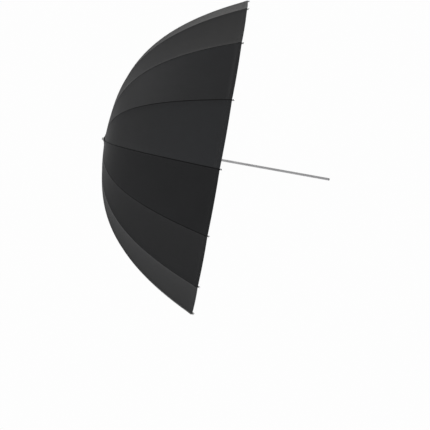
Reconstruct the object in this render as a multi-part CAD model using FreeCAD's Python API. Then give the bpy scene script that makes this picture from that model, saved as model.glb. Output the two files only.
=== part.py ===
import FreeCAD, Part
import math
import os
from FreeCAD import Vector

# An open umbrella reflector, in millimetres and degrees.
# The shaft lies along X, with the canopy's apex towards -X and the shaft's free end towards +X.
# The origin is the point of the shaft that a bracket clamps. Rib 1 points up, along +Z.

# Canopy
RIB_COUNT = 16
OPENING_DIAMETER = 1050.0   # across opposite seams at the rim
CANOPY_DEPTH = 382.0        # along the shaft, from the apex to the rim
PROFILE_POWER = 3.23        # how late the profile curls towards the shaft
PROFILE_CONE = 0.126        # share of the depth that is a straight cone
CANOPY_THICKNESS = 0.8
CANOPY_HOLE_RADIUS = 10.0
PANEL_GAP = 0.3             # between neighbouring panels
PROFILE_POINTS = 12         # that each panel's curve passes through

# Shaft
SHAFT_DIAMETER = 8.0
SHAFT_WALL = 0.6
APEX_TO_CLAMP = 665.0
CLAMP_TO_END = 84.0         # to the end of the tube, without its cap
BARE_BEFORE_CLAMP = 255.0   # clear shaft on the canopy's side of the clamping point
GROOVE_WIDTH = 2.0          # of the shallow ring where the clear shaft starts
GROOVE_DEPTH = 0.2
CAP_DOME = 3.0
CAP_ROUND = 2.55            # on the dome's edge
CAP_PLUG = 12.0
FIXED_FIT = 0.03            # radial, between pieces that are fixed together

# Top of the shaft
ROSETTE_RADIUS = 17.0
ROSETTE_THICKNESS = 0.8
WASHER_RADIUS = 9.0
WASHER_THICKNESS = 1.5
WASHER_BEVEL_WIDTH = 0.8
WASHER_BEVEL_HEIGHT = 0.5
FERRULE_RADIUS = 5.4
FERRULE_LENGTH = 6.5
FERRULE_BORE = 3.9          # how deep the shaft's end stands in it
FERRULE_BAND = 1.6          # full-width band at its foot
FERRULE_BEVEL = 0.6         # from the band to the neck
FERRULE_NECK_STEP = 0.9     # the neck's radius is smaller by this
FERRULE_DOME_SHARE = 0.5    # the dome's height over its radius
FERRULE_DOME_ANGLES = (0.3, 0.6, 0.9, 1.2)
SOFT_GAP = 0.3              # between fabric and what it moves against

# Hinge rings of the notch and the runner
RING_STANDOFF = 9.0         # from the shaft's surface to the hinge wire's centre
WIRE_RADIUS = 0.6
WIRE_FIT = 0.1
EYE_RADIUS = 2.0
TONGUE_THICKNESS = 2.0
SLOT_FIT = 0.2              # on each side of a tongue
SLOT_FLOOR_GAP = 1.5
TOOTH_OVER_WIRE = 3.0
HUB_BELOW_WIRE = 4.0
CUT_PAST = 1.0              # how far a cutting shape passes what it cuts

# Notch
RIB_HINGE_DEPTH = 4.8       # from the apex to the ribs' hinge ring
NOTCH_COLLAR_WALL = 3.5
NOTCH_COLLAR_LENGTH = 9.0

# Ribs
ROD_DIAMETER = 3.0
ROD_DROP = 1.4              # from the canopy's inner side to the rod
ROD_SPANS = 6
ROOT_SLEEVE_START = 8.0     # from the hinge, along the rib
ROOT_SLEEVE_LENGTH = 13.0
ROD_IN_SLEEVE = 1.5         # from the sleeve's end to the rod's
TONGUE_IN_SLEEVE = 1.0
ROD_END_INSET = 1.0         # from the rim back to the rod's end
SLEEVE_WALL = 0.75
SLEEVE_FIT = 0.08
TIP_INSIDE = 9.0            # length of the tip over the rod
TIP_BEYOND = 6.0            # length of the tip past the rim
TIP_BALL_RADIUS = 2.6
TIP_RADIUS_FOLDED = 28.0    # from the shaft's axis to the rib tips, folded

# Clips and stretchers
CLIP_RADIUS = 260.0         # where the clips sit, measured from the shaft's axis
CLIP_LENGTH = 14.0
PIVOT_DROP = 5.5            # from the rod's centre to the clip's rivet
CHEEK_THICKNESS = 0.8
RIVET_RADIUS = 1.0
RIVET_HEAD_RADIUS = 1.7
RIVET_HEAD_HEIGHT = 0.7
RIVET_RUNNING_FIT = 0.06
LINK_EYE_RADIUS = 2.3
LINK_THICKNESS = 1.6
LINK_WIDTH = 3.2
CHANNEL_WIDTH = 3.6
CHANNEL_HEIGHT = 3.2
CHANNEL_WALL = 0.5
CHANNEL_FROM_RIVET = 11.0
CHANNEL_FROM_HOOK = 14.0
EYE_IN_CHANNEL = 6.0        # how far the flat eyes reach into the channel

# Runner
RUNNER_FIT = 0.08           # radial, on the shaft
RUNNER_SLEEVE_WALL = 3.4
CROWN_TAPER = 3.0           # from the slots' floor down to the sleeve
HOOK_ROOM = 3.0             # between the hooks and the grip where they come closest
GRIP_LENGTH = 9.0
GRIP_RADIUS = 12.0
GRIP_SEAT_DEPTH = 1.0       # how deep the grip sits in the sleeve
GRIP_ROUND = 1.2
GRIP_GROOVES = 3
GRIP_GROOVE_RADIUS = 0.8
GRIP_GROOVE_LIFT = 0.3      # from the grip's surface out to the groove's centre
HOOK_LEAD_FOLDED = 7.0      # how far the hooks stand ahead of the runner's wire, folded
FOLD_STEPS = 40             # at which that lead is worked out

# Catch and cross pins
PIN_RADIUS = 1.0
PIN_INSET = 0.3             # a flush pin ends this far below the surface
STOP_GAP = 0.3              # between the runner and what stops it
STOP_PIN_REACH = 2.4        # past the shaft on each side
CATCH_LENGTH = 40.0         # from the anchor pin to the nose
CATCH_NOSE = 2.4            # height of the nose over the shaft
CATCH_THICKNESS = 0.8
CATCH_WIDTH = 2.0
CATCH_SLOT_FIT = 0.2
CATCH_SLOT_LENGTH = 12.0
CATCH_SLOT_LEAD = 1.5       # how far the slot starts before the nose
CATCH_NOSE_TOP = 1.8        # length of the nose's flat top
CATCH_RAMP = 10.0           # from the nose's front to the foot of its slope
CATCH_FOLD_BACK = 0.6       # the inner side of the slope, from its outer side
CATCH_FOLD_DROP = 1.4       # the inner side of the nose, from its top
CATCH_UNDER_TUBE = 0.4      # from the tube's inner wall to the leaf
CATCH_ROOT_EXTRA = 0.5      # the leaf is thicker by this at its pin
CATCH_PRESSED_GAP = 0.3     # from the shaft's surface down to the pressed nose
CATCH_TAIL = 2.2            # how far the nose reaches in below the shaft's surface

# Sizes that follow from the ones above
RIM_RADIUS = OPENING_DIAMETER / 2
HALF_GORE = math.pi / RIB_COUNT
SHAFT_RADIUS = SHAFT_DIAMETER / 2
APEX_X = -APEX_TO_CLAMP
RING_RADIUS = SHAFT_RADIUS + RING_STANDOFF
SLOT_FLOOR = RING_RADIUS - EYE_RADIUS - SLOT_FLOOR_GAP
HUB_RADIUS = RING_RADIUS + TOOTH_OVER_WIRE
ROD_RADIUS = ROD_DIAMETER / 2
ROD_DEPTH = CANOPY_THICKNESS + ROD_DROP + ROD_RADIUS
SLEEVE_RADIUS = ROD_RADIUS + SLEEVE_FIT + SLEEVE_WALL
X_AXIS = Vector(1, 0, 0)
Y_AXIS = Vector(0, 1, 0)
ORIGIN = Vector(0, 0, 0)
SAME = 0.01                 # lengths closer than this count as equal
NO_TURN = 1e-6              # a smaller sideways run counts as straight


def save(name, pieces):
    """Writes one node. Its pieces stay separate solids."""
    shape = pieces[0] if len(pieces) == 1 else Part.makeCompound(pieces)
    for solid in shape.Solids:
        if not solid.isValid():
            raise ValueError(name + " has a broken solid")
    shape.exportStep("parts/" + name + ".step")
    print(name, len(shape.Solids), "solids", round(shape.Volume), "mm3")


def in_rib_plane(x, r):
    """A point of the first rib's plane, at x along the shaft and r from its axis."""
    return Vector(x, 0, r)


def around_shaft(shape, index):
    """A copy of a piece of the first rib, turned to the rib with this number."""
    turned = shape.copy()
    turned.rotate(ORIGIN, X_AXIS, index * 360 / RIB_COUNT)
    return turned


def revolved(points):
    """A solid turned about the shaft from its half section, as (x, r) points."""
    corners = [in_rib_plane(x, r) for x, r in points]
    face = Part.Face(Part.makePolygon(corners + corners[:1]))
    return face.revolve(ORIGIN, X_AXIS, 360)


def ring_tube(x, inner, outer, length):
    """A plain tube about the shaft."""
    return revolved([(x, inner), (x, outer), (x + length, outer), (x + length, inner)])


def rod_along(start, end, radius):
    run = end - start
    return Part.makeCylinder(radius, run.Length, start, run)


def cross_bore(x, radius, half_length):
    """A cylinder across the shaft, along Y."""
    return Part.makeCylinder(radius, 2 * half_length, Vector(x, -half_length, 0), Y_AXIS)


# ---------------------------------------------------------------- canopy profile


def canopy_x(r):
    """Where the canopy's outer side stands over a seam, r from the shaft's axis."""
    share = r / RIM_RADIUS
    curl = (1 - PROFILE_CONE) * share**PROFILE_POWER
    return APEX_X + CANOPY_DEPTH * (curl + PROFILE_CONE * share)


def canopy_slope(r):
    """How far the canopy runs along the shaft for each millimetre outwards."""
    share = r / RIM_RADIUS
    curl = (1 - PROFILE_CONE) * PROFILE_POWER * share ** (PROFILE_POWER - 1)
    return CANOPY_DEPTH / RIM_RADIUS * (curl + PROFILE_CONE)


def under_canopy(r, depth):
    """The point at this depth inside the canopy's outer side, and the profile's direction there."""
    slope = canopy_slope(r)
    size = math.hypot(1, slope)
    point = in_rib_plane(canopy_x(r) + depth / size, r - depth * slope / size)
    return point, in_rib_plane(slope / size, 1 / size)


# ---------------------------------------------------------------- linkage

RIB_HINGE = in_rib_plane(APEX_X + RIB_HINGE_DEPTH, RING_RADIUS)
ROD_AT_CLIP, ALONG_CLIP = under_canopy(CLIP_RADIUS, ROD_DEPTH)
CLIP_PIVOT = under_canopy(CLIP_RADIUS, ROD_DEPTH + PIVOT_DROP)[0]
LINK = CLIP_PIVOT - RIB_HINGE
LINK_LENGTH = LINK.Length
OPEN_ANGLE = math.atan2(LINK.z, LINK.x)
# The stretcher is as long as the rib from hinge to clip, so its lower end stays on the hinge ring.
HOOK = in_rib_plane(RIB_HINGE.x + 2 * LINK.x, RING_RADIUS)

RIM_POINT, RIM_DIRECTION = under_canopy(RIM_RADIUS, ROD_DEPTH)
RIB_TIP = RIM_POINT + RIM_DIRECTION * TIP_BEYOND
TIP_ARM = RIB_TIP - RIB_HINGE
TIP_ANGLE_FOLDED = math.asin((TIP_RADIUS_FOLDED - RING_RADIUS) / TIP_ARM.Length)
FOLD_ANGLE = math.atan2(TIP_ARM.z, TIP_ARM.x) - TIP_ANGLE_FOLDED
HOOK_TRAVEL = 2 * LINK_LENGTH * (math.cos(OPEN_ANGLE - FOLD_ANGLE) - math.cos(OPEN_ANGLE))
RUNNER_TRAVEL = HOOK_TRAVEL - HOOK_LEAD_FOLDED


def hook_lead(share):
    """How far the hooks stand ahead of the runner's wire, this share of the way through the fold."""
    run = 2 * LINK_LENGTH * (math.cos(OPEN_ANGLE - share * FOLD_ANGLE) - math.cos(OPEN_ANGLE))
    return run - share * RUNNER_TRAVEL


HOOK_LEAD_MOST = max(hook_lead(step / FOLD_STEPS) for step in range(FOLD_STEPS + 1))
RUNNER_LENGTH = HOOK_LEAD_MOST + EYE_RADIUS + HOOK_ROOM + GRIP_LENGTH

RUNNER_END_X = HOOK.x + RUNNER_LENGTH
CATCH_NOSE_X = RUNNER_END_X + STOP_GAP
CATCH_PIN_X = CATCH_NOSE_X + CATCH_LENGTH
STOP_PIN_X = HOOK.x - HUB_BELOW_WIRE - STOP_GAP - PIN_RADIUS
NOTCH_END_X = RIB_HINGE.x + HUB_BELOW_WIRE
NOTCH_PIN_X = NOTCH_END_X + NOTCH_COLLAR_LENGTH / 2
CATCH_PRESS = math.degrees(math.asin((CATCH_NOSE + CATCH_PRESSED_GAP) / CATCH_LENGTH))


# ---------------------------------------------------------------- shaft


def catch_slot():
    """The opening in the top of the shaft that the catch's nose works in."""
    width = CATCH_WIDTH + 2 * CATCH_SLOT_FIT
    corner = Vector(CATCH_NOSE_X - CATCH_SLOT_LEAD, -width / 2, 0)
    return Part.makeBox(CATCH_SLOT_LENGTH, width, SHAFT_DIAMETER, corner)


def shaft_tube():
    start = APEX_X - WASHER_THICKNESS - FERRULE_LENGTH / 2
    tube = ring_tube(start, SHAFT_RADIUS - SHAFT_WALL, SHAFT_RADIUS, CLAMP_TO_END - start)
    groove_x = -BARE_BEFORE_CLAMP - GROOVE_WIDTH
    groove_floor = SHAFT_RADIUS - GROOVE_DEPTH
    tube = tube.cut(ring_tube(groove_x, groove_floor, SHAFT_RADIUS + CUT_PAST, GROOVE_WIDTH))
    for x in (NOTCH_PIN_X, STOP_PIN_X, CATCH_PIN_X):
        tube = tube.cut(cross_bore(x, PIN_RADIUS + FIXED_FIT, SHAFT_DIAMETER))
    return tube.cut(catch_slot())


def shaft_end_cap():
    """A plug in the tube with a domed head no wider than the shaft."""
    plug = SHAFT_RADIUS - SHAFT_WALL - FIXED_FIT
    head = SHAFT_RADIUS - FIXED_FIT
    x = CLAMP_TO_END
    body = ring_tube(x - CAP_PLUG, 0, plug, CAP_PLUG)
    end = x + CAP_DOME
    dome = revolved([(x, 0), (x, head), (end, head), (end, 0)])
    rims = [e for e in dome.Edges if abs(e.BoundBox.XMin - end) < SAME and len(e.Vertexes) == 1]
    return body.fuse(dome.makeFillet(CAP_ROUND, rims))


def cross_pins():
    """The notch pin, the runner's stop pin and the catch's anchor pin."""
    flush = SHAFT_RADIUS - PIN_INSET
    in_collar = SHAFT_RADIUS + NOTCH_COLLAR_WALL - PIN_INSET
    return [
        cross_bore(NOTCH_PIN_X, PIN_RADIUS, in_collar),
        cross_bore(STOP_PIN_X, PIN_RADIUS, SHAFT_RADIUS + STOP_PIN_REACH),
        cross_bore(CATCH_PIN_X, PIN_RADIUS, flush),
    ]


# ---------------------------------------------------------------- top of the canopy


def cone_x(r):
    """The straight cone of the canopy's apex."""
    return APEX_X + canopy_slope(0) * r


def top_rosette():
    """The patch over the canopy's centre."""
    inner = SHAFT_RADIUS + FIXED_FIT
    low = [(cone_x(r) - SOFT_GAP, r) for r in (inner, ROSETTE_RADIUS)]
    high = [(x - ROSETTE_THICKNESS, r) for x, r in reversed(low)]
    return revolved(low + high)


def top_washer():
    inner = SHAFT_RADIUS + FIXED_FIT
    seat = -SOFT_GAP - ROSETTE_THICKNESS
    low = [(cone_x(r) + seat, r) for r in (inner, WASHER_RADIUS)]
    back = cone_x(inner) + seat - WASHER_THICKNESS
    bevel = [(back + WASHER_BEVEL_HEIGHT, WASHER_RADIUS), (back, WASHER_RADIUS - WASHER_BEVEL_WIDTH)]
    return revolved(low + bevel + [(back, inner)])


def tip_ferrule():
    """The bright cap screwed on the shaft's end over the washer."""
    inner = SHAFT_RADIUS + FIXED_FIT
    base = cone_x(inner) - SOFT_GAP - ROSETTE_THICKNESS - WASHER_THICKNESS
    top = base - FERRULE_LENGTH
    bore_end = base - FERRULE_BORE
    band_end = base - FERRULE_BAND
    neck = FERRULE_RADIUS - FERRULE_NECK_STEP
    outline = [(base, inner), (base, FERRULE_RADIUS), (band_end, FERRULE_RADIUS)]
    outline.append((band_end - FERRULE_BEVEL, neck))
    for angle in FERRULE_DOME_ANGLES:
        rise = neck * (1 - math.sin(angle)) * FERRULE_DOME_SHARE
        outline.append((top + rise, neck * math.cos(angle)))
    return revolved(outline + [(top, 0), (bore_end, 0), (bore_end, inner)])


# ---------------------------------------------------------------- hinge rings


def slots(x, length):
    """One radial slot for each rib or stretcher, as a list of cutters."""
    width = TONGUE_THICKNESS + 2 * SLOT_FIT
    corner = Vector(x - CUT_PAST, -width / 2, SLOT_FLOOR)
    first = Part.makeBox(length + 2 * CUT_PAST, width, HUB_RADIUS, corner)
    return [around_shaft(first, i) for i in range(RIB_COUNT)]


def wire_groove(x, top):
    """The groove that the hinge wire is laid in from the side that faces the canopy."""
    radius = WIRE_RADIUS + WIRE_FIT
    start = top - CUT_PAST
    channel = ring_tube(start, RING_RADIUS - radius, RING_RADIUS + radius, x - start)
    return channel.fuse(Part.makeTorus(RING_RADIUS, radius, Vector(x, 0, 0), X_AXIS))


def hinge_wire(x):
    return Part.makeTorus(RING_RADIUS, WIRE_RADIUS, Vector(x, 0, 0), X_AXIS)


def slotted_hub(outline, x, top, length):
    """A hub turned from its outline, with the wire's groove and the radial slots cut in it."""
    hub = revolved(outline).cut(wire_groove(x, top))
    return hub.cut(Part.makeCompound(slots(top, length)))


def top_notch():
    bore = SHAFT_RADIUS + FIXED_FIT
    collar = SHAFT_RADIUS + NOTCH_COLLAR_WALL
    top = APEX_X + CANOPY_THICKNESS + canopy_slope(0) * HUB_RADIUS + 2 * SOFT_GAP
    end = NOTCH_END_X + NOTCH_COLLAR_LENGTH
    outline = [(top, bore), (top, HUB_RADIUS), (NOTCH_END_X, HUB_RADIUS)]
    outline += [(NOTCH_END_X, collar), (end, collar), (end, bore)]
    hub = slotted_hub(outline, RIB_HINGE.x, top, NOTCH_END_X - top)
    return hub.cut(cross_bore(NOTCH_PIN_X, PIN_RADIUS + FIXED_FIT, HUB_RADIUS))


def runner():
    """The crown that the stretchers hook into, with its sleeve, in one moulding."""
    bore = SHAFT_RADIUS + RUNNER_FIT
    sleeve = bore + RUNNER_SLEEVE_WALL
    top = HOOK.x - HUB_BELOW_WIRE
    crown_end = HOOK.x + HUB_BELOW_WIRE
    grip_start = RUNNER_END_X - GRIP_LENGTH
    seat = sleeve - GRIP_SEAT_DEPTH
    outline = [(top, bore), (top, HUB_RADIUS), (crown_end, HUB_RADIUS), (crown_end, SLOT_FLOOR)]
    outline += [(crown_end + CROWN_TAPER, sleeve), (grip_start, sleeve), (grip_start, seat)]
    outline += [(RUNNER_END_X, seat), (RUNNER_END_X, bore)]
    return slotted_hub(outline, HOOK.x, top, crown_end - top)


def runner_grip():
    """The thumb flange on the runner's lower end, with shallow finger grooves."""
    seat = SHAFT_RADIUS + RUNNER_FIT + RUNNER_SLEEVE_WALL - GRIP_SEAT_DEPTH + FIXED_FIT
    start = RUNNER_END_X - GRIP_LENGTH + FIXED_FIT
    length = GRIP_LENGTH - FIXED_FIT
    grip = ring_tube(start, seat, GRIP_RADIUS, length)
    outer = [e for e in grip.Edges if abs(e.BoundBox.ZMax - GRIP_RADIUS) < SAME]
    grip = grip.makeFillet(GRIP_ROUND, [e for e in outer if e.BoundBox.XLength < SAME])
    groove = GRIP_RADIUS + GRIP_GROOVE_LIFT
    for i in range(GRIP_GROOVES):
        x = start + length * (i + 1) / (GRIP_GROOVES + 1)
        grip = grip.cut(Part.makeTorus(groove, GRIP_GROOVE_RADIUS, Vector(x, 0, 0), X_AXIS))
    return grip


# ---------------------------------------------------------------- ribs


def arc_from(start, direction, end):
    """The arc that leaves the start in this direction and reaches the end."""
    chord = end - start
    side = direction - chord * (direction.dot(chord) / chord.dot(chord))
    if side.Length < NO_TURN:
        return Part.LineSegment(start, end).toShape()
    turn = direction.getAngle(chord)
    side.normalize()
    middle = (start + end) * 0.5 + side * (chord.Length / 2 * math.tan(turn / 2))
    return Part.Arc(start, middle, end).toShape()


def two_arcs(start, leaving, end, arriving):
    """Two arcs that meet smoothly and match both directions."""
    gap = end - start
    both = leaving + arriving
    spread = 2 * (1 - leaving.dot(arriving))
    reach = gap.dot(both)
    arm = (math.sqrt(reach**2 + spread * gap.dot(gap)) - reach) / spread
    meet = (start + end + (leaving - arriving) * arm) * 0.5
    second = arc_from(end, arriving * -1, meet)
    return [arc_from(start, leaving, meet), second]


def rod_start():
    """Radius at which the rod starts, inside the root sleeve."""
    return RING_RADIUS + ROOT_SLEEVE_START + ROD_IN_SLEEVE


def rib_rod():
    """The round rod, bent along the canopy's inner side."""
    first = rod_start()
    last = RIM_RADIUS - ROD_END_INSET
    radii = [first + (last - first) * i / ROD_SPANS for i in range(ROD_SPANS + 1)]
    stops = [under_canopy(r, ROD_DEPTH) for r in radii]
    edges = []
    for (start, leaving), (end, arriving) in zip(stops, stops[1:]):
        edges += two_arcs(start, leaving, end, arriving)
    circle = Part.Wire(Part.makeCircle(ROD_RADIUS, stops[0][0], stops[0][1]))
    return Part.Wire(Part.__sortEdges__(edges)).makePipeShell([circle], True, True)


def flat_link(start, end, width, thickness, eye, bore):
    """A flat bar in the rib's plane, with a round eye of these two radii at its start."""
    run = end - start
    side = Vector(-run.z, 0, run.x).normalize() * (width / 2)
    corners = [start + side, end + side, end - side, start - side]
    lift = Vector(0, -thickness / 2, 0)
    face = Part.Face(Part.makePolygon([p + lift for p in corners + corners[:1]]))
    bar = face.extrude(Y_AXIS * thickness)
    boss = Part.makeCylinder(eye, thickness, start + lift, Y_AXIS)
    hole = Part.makeCylinder(bore, thickness * 3, start + lift * 3, Y_AXIS)
    return bar.fuse(boss).cut(hole)


def ring_tongue(ring_point, end):
    """The flat tongue of a rib or stretcher, with the eye that turns on a hinge wire."""
    bore = WIRE_RADIUS + WIRE_FIT
    return flat_link(ring_point, end, ROD_DIAMETER, TONGUE_THICKNESS, EYE_RADIUS, bore)


def root_fitting():
    """The sleeve on the rod's root, with the flat tongue and eye that hinge on the notch wire."""
    start, direction = under_canopy(rod_start(), ROD_DEPTH)
    back = start - direction * ROD_IN_SLEEVE
    sleeve = rod_along(back, back + direction * ROOT_SLEEVE_LENGTH, SLEEVE_RADIUS)
    bore = rod_along(start, start + direction * ROOT_SLEEVE_LENGTH, ROD_RADIUS + SLEEVE_FIT)
    tongue = ring_tongue(RIB_HINGE, back + direction * TONGUE_IN_SLEEVE)
    return sleeve.fuse(tongue).cut(bore)


def rib_tip():
    """The metal tip on the rod's end, sewn to the hem at its neck."""
    back = RIM_POINT - RIM_DIRECTION * TIP_INSIDE
    ball_centre = RIB_TIP - RIM_DIRECTION * TIP_BALL_RADIUS
    sleeve = rod_along(back, ball_centre, SLEEVE_RADIUS)
    ball = Part.makeSphere(TIP_BALL_RADIUS, ball_centre)
    bore = rod_along(back - RIM_DIRECTION, RIM_POINT, ROD_RADIUS + 2 * SLEEVE_FIT)
    return sleeve.fuse(ball).cut(bore)


def rib_clip():
    """The saddle on the rod, with two cheeks that hold the stretcher's rivet."""
    half = ALONG_CLIP * (CLIP_LENGTH / 2)
    sleeve = rod_along(ROD_AT_CLIP - half, ROD_AT_CLIP + half, SLEEVE_RADIUS)
    bore = rod_along(ROD_AT_CLIP - half * 2, ROD_AT_CLIP + half * 2, ROD_RADIUS + 2 * SLEEVE_FIT)
    rivet_hole = RIVET_RADIUS + FIXED_FIT
    width = 2 * LINK_EYE_RADIUS
    cheek = flat_link(CLIP_PIVOT, ROD_AT_CLIP, width, CHEEK_THICKNESS, LINK_EYE_RADIUS, rivet_hole)
    offset = LINK_THICKNESS / 2 + SLOT_FIT + CHEEK_THICKNESS / 2
    clip = sleeve
    for side in (-1, 1):
        clip = clip.fuse(cheek.translated(Y_AXIS * (side * offset)))
    return clip.cut(bore)


def clip_rivet():
    half = LINK_THICKNESS / 2 + SLOT_FIT + CHEEK_THICKNESS
    pin = Part.makeCylinder(RIVET_RADIUS, 2 * half, CLIP_PIVOT - Y_AXIS * half, Y_AXIS)
    for side in (-1, 1):
        seat = CLIP_PIVOT + Y_AXIS * (side * half)
        pin = pin.fuse(Part.makeCylinder(RIVET_HEAD_RADIUS, RIVET_HEAD_HEIGHT, seat, Y_AXIS * side))
    return pin


# ---------------------------------------------------------------- stretchers


def stretcher():
    """A pressed channel with a flat eye at the clip and an open hook at the runner."""
    run = CLIP_PIVOT - HOOK
    length = run.Length
    run.normalize()
    upper = flat_link(
        CLIP_PIVOT,
        CLIP_PIVOT - run * (CHANNEL_FROM_RIVET + EYE_IN_CHANNEL),
        LINK_WIDTH,
        LINK_THICKNESS,
        LINK_EYE_RADIUS,
        RIVET_RADIUS + RIVET_RUNNING_FIT,
    )
    lower = ring_tongue(HOOK, HOOK + run * (CHANNEL_FROM_HOOK + EYE_IN_CHANNEL))
    mouth = 2 * (WIRE_RADIUS + WIRE_FIT)
    corner = HOOK + Vector(-2 * EYE_RADIUS, -TONGUE_THICKNESS, -mouth / 2)
    lower = lower.cut(Part.makeBox(2 * EYE_RADIUS, 2 * TONGUE_THICKNESS, mouth, corner))
    channel = open_channel(length - CHANNEL_FROM_RIVET - CHANNEL_FROM_HOOK)
    turn = FreeCAD.Rotation(X_AXIS, run)
    channel.Placement = FreeCAD.Placement(HOOK + run * CHANNEL_FROM_HOOK, turn)
    return channel.fuse([upper, lower])


def open_channel(length):
    """A channel along X, open on its lower side."""
    foot = -CHANNEL_HEIGHT / 2
    corner = Vector(0, -CHANNEL_WIDTH / 2, foot)
    outside = Part.makeBox(length, CHANNEL_WIDTH, CHANNEL_HEIGHT, corner)
    inside = CHANNEL_WIDTH - 2 * CHANNEL_WALL
    corner = Vector(0, -inside / 2, foot - CHANNEL_WALL)
    return outside.cut(Part.makeBox(length, inside, CHANNEL_HEIGHT, corner))


# ---------------------------------------------------------------- canopy panels


def mid_gore_point(r, depth):
    """A point half-way between two seams, this deep in the canopy, as (x, distance from the axis)."""
    across = math.cos(HALF_GORE)
    slope = canopy_slope(r) / across
    size = math.hypot(1, slope)
    return canopy_x(r) + depth / size, r * across - depth * slope / size


def canopy_panel():
    """The two half gores beside the first rib: flat across, creased along the seam over the rib."""
    out = Vector(0, math.sin(HALF_GORE), math.cos(HALF_GORE))
    to_seam = Vector(0, -math.cos(HALF_GORE), math.sin(HALF_GORE))
    span = RIM_RADIUS - CANOPY_HOLE_RADIUS
    radii = [CANOPY_HOLE_RADIUS + span * i / (PROFILE_POINTS - 1) for i in range(PROFILE_POINTS)]
    sides = []
    for depth in (0, CANOPY_THICKNESS):
        at = [mid_gore_point(r, depth) for r in radii]
        sides.append([X_AXIS * x + out * q + to_seam * (PANEL_GAP / 2) for x, q in at])
    curves = []
    for points in sides:
        curve = Part.BSplineCurve()
        curve.interpolate(points)
        curves.append(curve.toShape())
    ends = [Part.makeLine(sides[0][i], sides[1][i]) for i in (0, -1)]
    section = Part.Face(Part.Wire(Part.__sortEdges__(curves + ends)))
    gore = section.extrude(to_seam * RIM_RADIUS)
    size = 4 * RIM_RADIUS
    beside_rib = Part.makeBox(size, size, size, Vector(-size / 2, 0, -size / 2))
    half = gore.common(beside_rib)
    return half.fuse(half.mirror(ORIGIN, Y_AXIS)).removeSplitter()


# ---------------------------------------------------------------- catch


def catch():
    """The leaf spring inside the shaft, with the nose that holds the runner open."""
    front = CATCH_NOSE_X
    back = CATCH_PIN_X
    top = SHAFT_RADIUS + CATCH_NOSE
    thick = CATCH_THICKNESS
    under = SHAFT_RADIUS - SHAFT_WALL - CATCH_UNDER_TUBE
    points = [
        (back, thick / 2 + CATCH_ROOT_EXTRA),
        (front + CATCH_RAMP, under),
        (front + CATCH_NOSE_TOP, top),
        (front, top),
        (front, SHAFT_RADIUS - CATCH_TAIL),
        (front + thick, SHAFT_RADIUS - CATCH_TAIL),
        (front + thick, top - CATCH_FOLD_DROP),
        (front + CATCH_RAMP - CATCH_FOLD_BACK, under - thick),
        (back, -thick / 2),
    ]
    corners = [Vector(x, -CATCH_WIDTH / 2, z) for x, z in points]
    leaf = Part.Face(Part.makePolygon(corners + corners[:1])).extrude(Y_AXIS * CATCH_WIDTH)
    at = Vector(back, -CATCH_WIDTH / 2, 0)
    roll = Part.makeCylinder(PIN_RADIUS + thick, CATCH_WIDTH, at, Y_AXIS)
    hole = cross_bore(back, PIN_RADIUS + RIVET_RUNNING_FIT, CATCH_WIDTH)
    return leaf.fuse(roll).cut(hole)


# ---------------------------------------------------------------- write the nodes


def build():
    os.makedirs("parts", exist_ok=True)
    save("shaft_tube", [shaft_tube()])
    save("shaft_end_cap", [shaft_end_cap()])
    save("cross_pins", cross_pins())
    save("top_rosette", [top_rosette()])
    save("top_washer", [top_washer()])
    save("tip_ferrule", [tip_ferrule()])
    save("top_notch", [top_notch()])
    save("notch_wire", [hinge_wire(RIB_HINGE.x)])
    save("runner", [runner()])
    save("runner_wire", [hinge_wire(HOOK.x)])
    save("runner_grip", [runner_grip()])
    save("catch", [catch()])
    rib = [rib_rod(), root_fitting(), rib_clip(), clip_rivet(), rib_tip()]
    link = stretcher()
    panel = canopy_panel()
    for i in range(RIB_COUNT):
        number = "%02d" % (i + 1)
        save("rib_" + number, [around_shaft(piece, i) for piece in rib])
        save("stretcher_" + number, [around_shaft(link, i)])
        save("canopy_" + number, [around_shaft(panel, i)])


build()
print("runner travel", round(RUNNER_TRAVEL, 2), "mm")
print("rib fold", round(math.degrees(FOLD_ANGLE), 2), "degrees")
print("catch press", round(CATCH_PRESS, 2), "degrees")
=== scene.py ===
# %% [markdown]
# # A folding umbrella reflector for studio light
# The object is a deep bowl of black cloth, white inside, held open by sixteen sprung ribs. A plain
# steel shaft runs through it and out of its mouth, and a runner on the shaft opens and folds it.
# The hard parts come from the CAD model and keep their shapes. Blender adds the camera, the light,
# the finishes and everything that is sewn: the cloth, its seams and hem, the patch at the top and
# the threads that tie the ribs.

# %% Load the CAD model
import math

import bmesh
import bpy
from mathutils import Matrix, Vector


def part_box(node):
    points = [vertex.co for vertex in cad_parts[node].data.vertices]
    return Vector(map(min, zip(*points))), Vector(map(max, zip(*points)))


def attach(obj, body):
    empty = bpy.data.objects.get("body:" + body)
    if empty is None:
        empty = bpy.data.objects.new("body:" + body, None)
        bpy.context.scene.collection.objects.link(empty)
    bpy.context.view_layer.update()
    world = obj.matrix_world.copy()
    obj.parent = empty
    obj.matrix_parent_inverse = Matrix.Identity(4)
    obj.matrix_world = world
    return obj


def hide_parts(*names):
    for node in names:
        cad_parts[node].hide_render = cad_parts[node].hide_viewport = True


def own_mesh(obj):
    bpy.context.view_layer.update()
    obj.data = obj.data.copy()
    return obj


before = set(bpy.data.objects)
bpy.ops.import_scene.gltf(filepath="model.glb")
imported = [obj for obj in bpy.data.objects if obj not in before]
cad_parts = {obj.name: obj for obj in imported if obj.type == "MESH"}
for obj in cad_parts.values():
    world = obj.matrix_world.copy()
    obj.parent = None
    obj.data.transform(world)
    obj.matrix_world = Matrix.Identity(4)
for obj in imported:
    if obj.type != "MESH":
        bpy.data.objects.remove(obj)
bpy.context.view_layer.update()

# %% [markdown]
# ## Sizes
# The cloth has to fit the CAD model, so the rim's place and the number of ribs are read from the
# model. The cloth's outer side over a rib follows one formula: a cone at the top that curls over
# more and more towards the rim. Its three numbers are the same as in the CAD source.

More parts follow.
